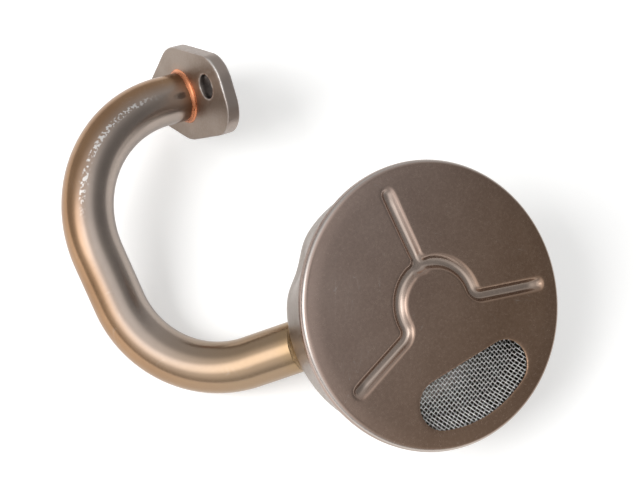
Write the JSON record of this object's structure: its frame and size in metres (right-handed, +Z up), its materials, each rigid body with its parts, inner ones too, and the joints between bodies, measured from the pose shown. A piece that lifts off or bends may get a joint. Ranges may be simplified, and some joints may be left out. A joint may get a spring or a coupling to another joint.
{
  "type": "oil pickup tube",
  "caption": "Bent steel oil pickup tube with a two-bolt mounting flange and a round strainer with a pressed cover and wire screen.",
  "frame": {"origin": "centre of the footprint box, on the surface that the part rests on", "axes": "+Z up as the part lies at rest, cover and screen looking up; seen from above, the flange bolts run along X and the tube mouth looks towards +X"},
  "size_m": [0.151, 0.194, 0.0698],
  "materials": {
    "flange_steel": "dull grey-brown, fine grain",
    "tube_steel": "satin with gold heat tint",
    "flange_copper": "bright copper fillet",
    "housing_steel": "light satin steel",
    "housing_braze": "golden-brown fillet",
    "cover_steel": "dark warm satin, fine mottle",
    "screen_wire": "bright drawn wire"
  },
  "bodies": {
    "root": {"mounting_flange": "flange_steel", "pickup_tube": "tube_steel", "flange_braze": "flange_copper", "strainer_housing": "housing_steel", "housing_braze": "housing_braze", "bottom_cover": "cover_steel", "wire_screen": "screen_wire"}
  },
  "joints": []
}
